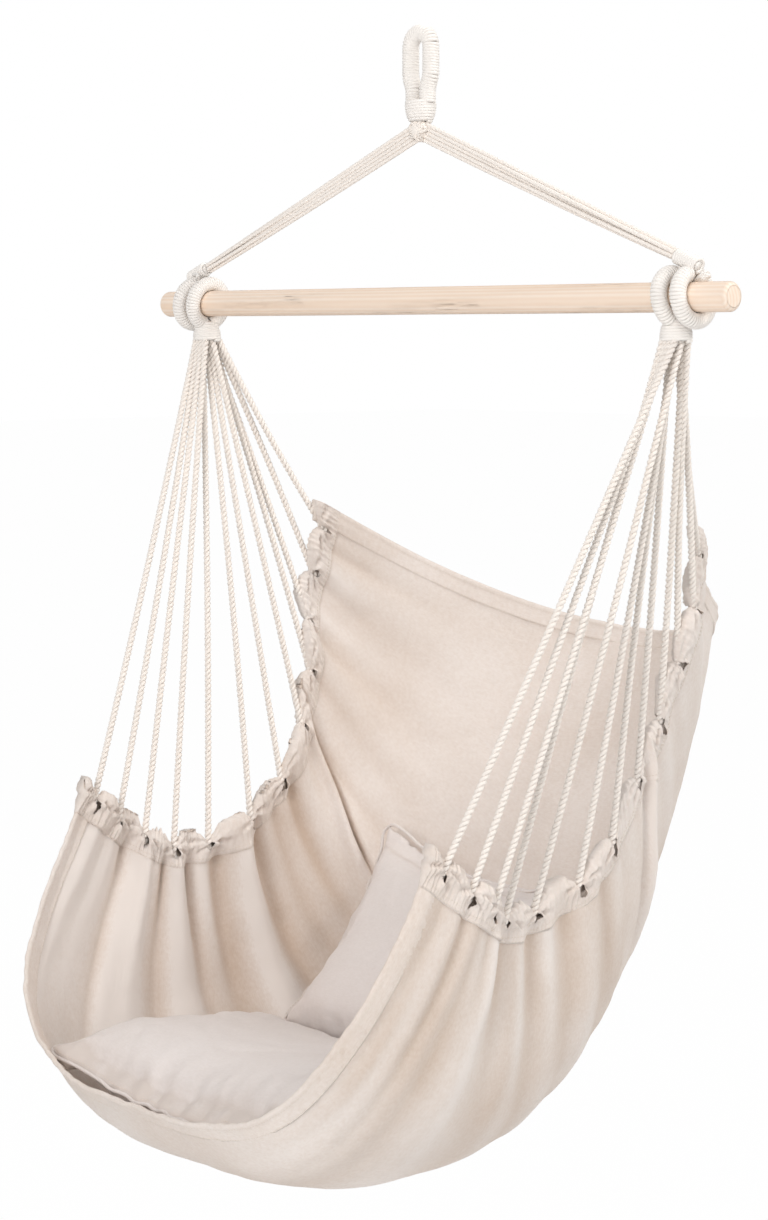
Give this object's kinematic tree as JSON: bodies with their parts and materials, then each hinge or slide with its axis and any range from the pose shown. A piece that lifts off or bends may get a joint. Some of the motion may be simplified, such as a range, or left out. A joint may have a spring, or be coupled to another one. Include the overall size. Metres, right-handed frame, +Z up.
{
  "type": "hammock chair",
  "caption": "Hanging canvas hammock chair: corded eye and rope harness, round wooden spreader bar, fanned side cords, gathered sling and two loose cushions.",
  "frame": {"origin": "bearing point inside the top of the rope eye, where the chair hangs on its hook", "axes": "+Z up; +X along the spreader bar towards the sitter's left; the sitter faces -Y"},
  "size_m": [0.9, 0.8106, 1.2595],
  "materials": {
    "rope": "twisted natural cotton rope, matt",
    "serving": "close-wound natural cotton cord, matt",
    "fan_cord": "three-strand twisted cotton cord, matt",
    "canvas": "undyed plain-weave cotton canvas, matt",
    "cushion_cover": "plain-weave cotton cover, paler and cooler than the sling",
    "pine": "smooth pale pine with a thin satin coat"
  },
  "bodies": {
    "hanger": {"eye_core": "rope", "eye_serving": "serving"},
    "throat": {"throat_core": "rope", "throat_whipping": "serving"},
    "knot": {"throat_knot": "rope"},
    "harness": {"harness_loop_core_left": "rope", "harness_loop_core_right": "rope", "harness_loop_serving_left": "serving", "harness_loop_serving_right": "serving", "harness_rope_left_1": "rope", "harness_rope_left_2": "rope", "harness_rope_left_3": "rope", "harness_rope_left_4": "rope", "harness_rope_left_5": "rope", "harness_rope_right_1": "rope", "harness_rope_right_2": "rope", "harness_rope_right_3": "rope", "harness_rope_right_4": "rope", "harness_rope_right_5": "rope", "serving_tail_right": "serving", "serving_knot_left": "serving"},
    "bar": {"spreader_bar": "pine"},
    "sling": {"sling_loop_core_left": "rope", "sling_loop_core_right": "rope", "sling_loop_serving_left": "serving", "sling_loop_serving_right": "serving", "neck_whipping_left": "serving", "neck_whipping_right": "serving", "fan_cord_left_1": "fan_cord", "fan_cord_left_2": "fan_cord", "fan_cord_left_3": "fan_cord", "fan_cord_left_4": "fan_cord", "fan_cord_left_5": "fan_cord", "fan_cord_left_6": "fan_cord", "fan_cord_left_7": "fan_cord", "fan_cord_left_8": "fan_cord", "fan_cord_left_9": "fan_cord", "fan_cord_left_10": "fan_cord", "fan_cord_left_11": "fan_cord", "fan_cord_left_12": "fan_cord", "fan_cord_right_1": "fan_cord", "fan_cord_right_2": "fan_cord", "fan_cord_right_3": "fan_cord", "fan_cord_right_4": "fan_cord", "fan_cord_right_5": "fan_cord", "fan_cord_right_6": "fan_cord", "fan_cord_right_7": "fan_cord", "fan_cord_right_8": "fan_cord", "fan_cord_right_9": "fan_cord", "fan_cord_right_10": "fan_cord", "fan_cord_right_11": "fan_cord", "fan_cord_right_12": "fan_cord", "sling_cloth": "canvas", "side_casing_left": "canvas", "side_casing_right": "canvas", "front_hem": "canvas", "back_hem": "canvas"},
    "seat_pad": {"seat_cushion": "cushion_cover"},
    "back_pad": {"back_cushion": "cushion_cover"}
  },
  "joints": [
    {"name": "rope_twist", "type": "hinge", "parent": "hanger", "child": "throat", "pos_m": [0, 0, -0.0662], "axis": [0, 0, 1], "range_deg": [-180, 180]},
    {"name": "swing", "type": "hinge", "parent": "throat", "child": "knot", "pos_m": [0, 0, -0.094], "axis": [1, 0, 0], "range_deg": [-25, 25]},
    {"name": "sway", "type": "hinge", "parent": "knot", "child": "harness", "pos_m": [0, 0, -0.094], "axis": [0, 1, 0], "range_deg": [-12, 12]},
    {"name": "bar_roll", "type": "hinge", "parent": "harness", "child": "bar", "pos_m": [0, 0, -0.284], "axis": [1, 0, 0], "continuous": true},
    {"name": "sling_swing", "type": "hinge", "parent": "harness", "child": "sling", "pos_m": [0, 0, -0.284], "axis": [1, 0, 0], "range_deg": [-30, 30]},
    {"name": "seat_cushion_lift", "type": "slide", "parent": "sling", "child": "seat_pad", "axis": [0, -0.316, 0.9488], "range_m": [0, 0.4]},
    {"name": "back_cushion_lift", "type": "slide", "parent": "sling", "child": "back_pad", "axis": [0, 0, 1], "range_m": [0, 0.35]}
  ]
}
